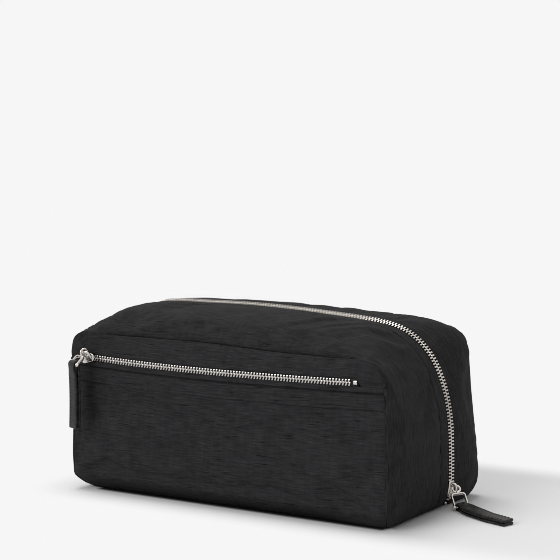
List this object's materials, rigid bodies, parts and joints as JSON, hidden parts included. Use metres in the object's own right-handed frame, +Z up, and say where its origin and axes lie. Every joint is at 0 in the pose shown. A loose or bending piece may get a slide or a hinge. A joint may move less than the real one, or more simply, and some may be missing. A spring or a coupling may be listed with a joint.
{
  "type": "hanging toiletry bag",
  "caption": "Box-shaped soft wash bag with a wrap-round zip lid, a zip pocket on the front, leather zip pulls and a hanging hook stowed inside the lid.",
  "frame": {"origin": "centre of the base, on the surface it stands on", "axes": "+X along the length towards the end where the main zip closes, -Y out of the front pocket, +Z up"},
  "size_m": [0.3359, 0.1647, 0.1396],
  "materials": {
    "black_nylon": "matt black woven nylon, lightly padded",
    "piping": "black corded seam",
    "lining": "smooth dark grey lining cloth",
    "mesh": "fine black mesh",
    "binding": "ribbed black elastic",
    "webbing": "black woven webbing",
    "zip_tape": "black woven zip tape",
    "zip_metal": "polished nickel-plated teeth",
    "nickel": "polished nickel-plated die casting",
    "hook_metal": "polished nickel-plated wire",
    "leather": "smooth black leather, stitched edges",
    "board": "stiff plastic board"
  },
  "bodies": {
    "compartment": {"base_panel": "black_nylon", "base_board": "board", "base_lining": "lining", "pocket_front": "black_nylon", "pocket_band": "black_nylon", "front_yoke": "black_nylon", "pocket_back": "lining", "front_piping": "piping", "front_gusset": "black_nylon", "zip_facing": "black_nylon", "compartment_lining": "lining", "pocket_tape_upper": "zip_tape", "pocket_tape_lower": "zip_tape", "pocket_teeth_upper": "zip_metal", "pocket_teeth_lower": "zip_metal", "pocket_zip_stop": "zip_metal", "main_tape_front": "zip_tape", "main_teeth_front": "zip_metal", "main_zip_stops": "zip_metal", "corner_webs": "black_nylon"},
    "lid": {"back_panel": "black_nylon", "lid_gusset": "black_nylon", "back_piping": "piping", "lid_lining": "lining", "main_tape_rear": "zip_tape", "main_teeth_rear": "zip_metal", "mesh_pocket": "mesh", "mesh_binding": "binding", "hanger_tab": "webbing"},
    "hook_frame": {"hanger_swivel": "hook_metal"},
    "hook": {"hanging_hook": "hook_metal"},
    "pocket_zip_slider": {"pocket_slider": "nickel"},
    "pocket_bail": {"pocket_bail": "nickel", "pocket_pull_pin": "nickel"},
    "pocket_pull": {"pocket_pull": "leather"},
    "main_zip_slider": {"main_slider": "nickel"},
    "main_bail": {"main_bail": "nickel", "main_pull_pin": "nickel"},
    "main_pull": {"main_pull": "leather"}
  },
  "joints": [
    {"name": "lid_hinge", "type": "hinge", "parent": "compartment", "child": "lid", "pos_m": [0, 0.0725, 0.002], "axis": [-1, 0, 0], "range_deg": [0, 90], "deforming": ["corner_webs"]},
    {"name": "hook_fold", "type": "hinge", "parent": "lid", "child": "hook_frame", "pos_m": [0, 0.0425, 0.106], "axis": [-1, 0, 0], "range_deg": [0, 85]},
    {"name": "hook_swivel", "type": "hinge", "parent": "hook_frame", "child": "hook", "pos_m": [0, 0.0425, 0.093], "axis": [0, 0, 1], "range_deg": [-90, 90]},
    {"name": "pocket_slide", "type": "slide", "parent": "compartment", "child": "pocket_zip_slider", "axis": [1, 0, 0], "range_m": [0, 0.223]},
    {"name": "pocket_bail_swing", "type": "hinge", "parent": "pocket_zip_slider", "child": "pocket_bail", "pos_m": [-0.1205, -0.0792, 0.1082], "axis": [0, 0, 1], "range_deg": [-10, 60]},
    {"name": "pocket_pull_swing", "type": "hinge", "parent": "pocket_bail", "child": "pocket_pull", "pos_m": [-0.12393, -0.08728, 0.10002], "axis": [-0.9205, 0.3907, 0], "range_deg": [-12, 80]},
    {"name": "main_slide", "type": "slide", "parent": "compartment", "child": "main_zip_slider", "axis": [0, 0, 1], "range_m": [0, 0.035]},
    {"name": "main_bail_swing", "type": "hinge", "parent": "main_zip_slider", "child": "main_bail", "pos_m": [0.1427, 0.024, 0.014], "axis": [0, 0, 1], "range_deg": [-6, 100]},
    {"name": "main_pull_lift", "type": "hinge", "parent": "main_bail", "child": "main_pull", "pos_m": [0.1502, 0.01725, 0.0029], "axis": [-0.7392, -0.667, -0.0936], "range_deg": [0, 75]}
  ]
}
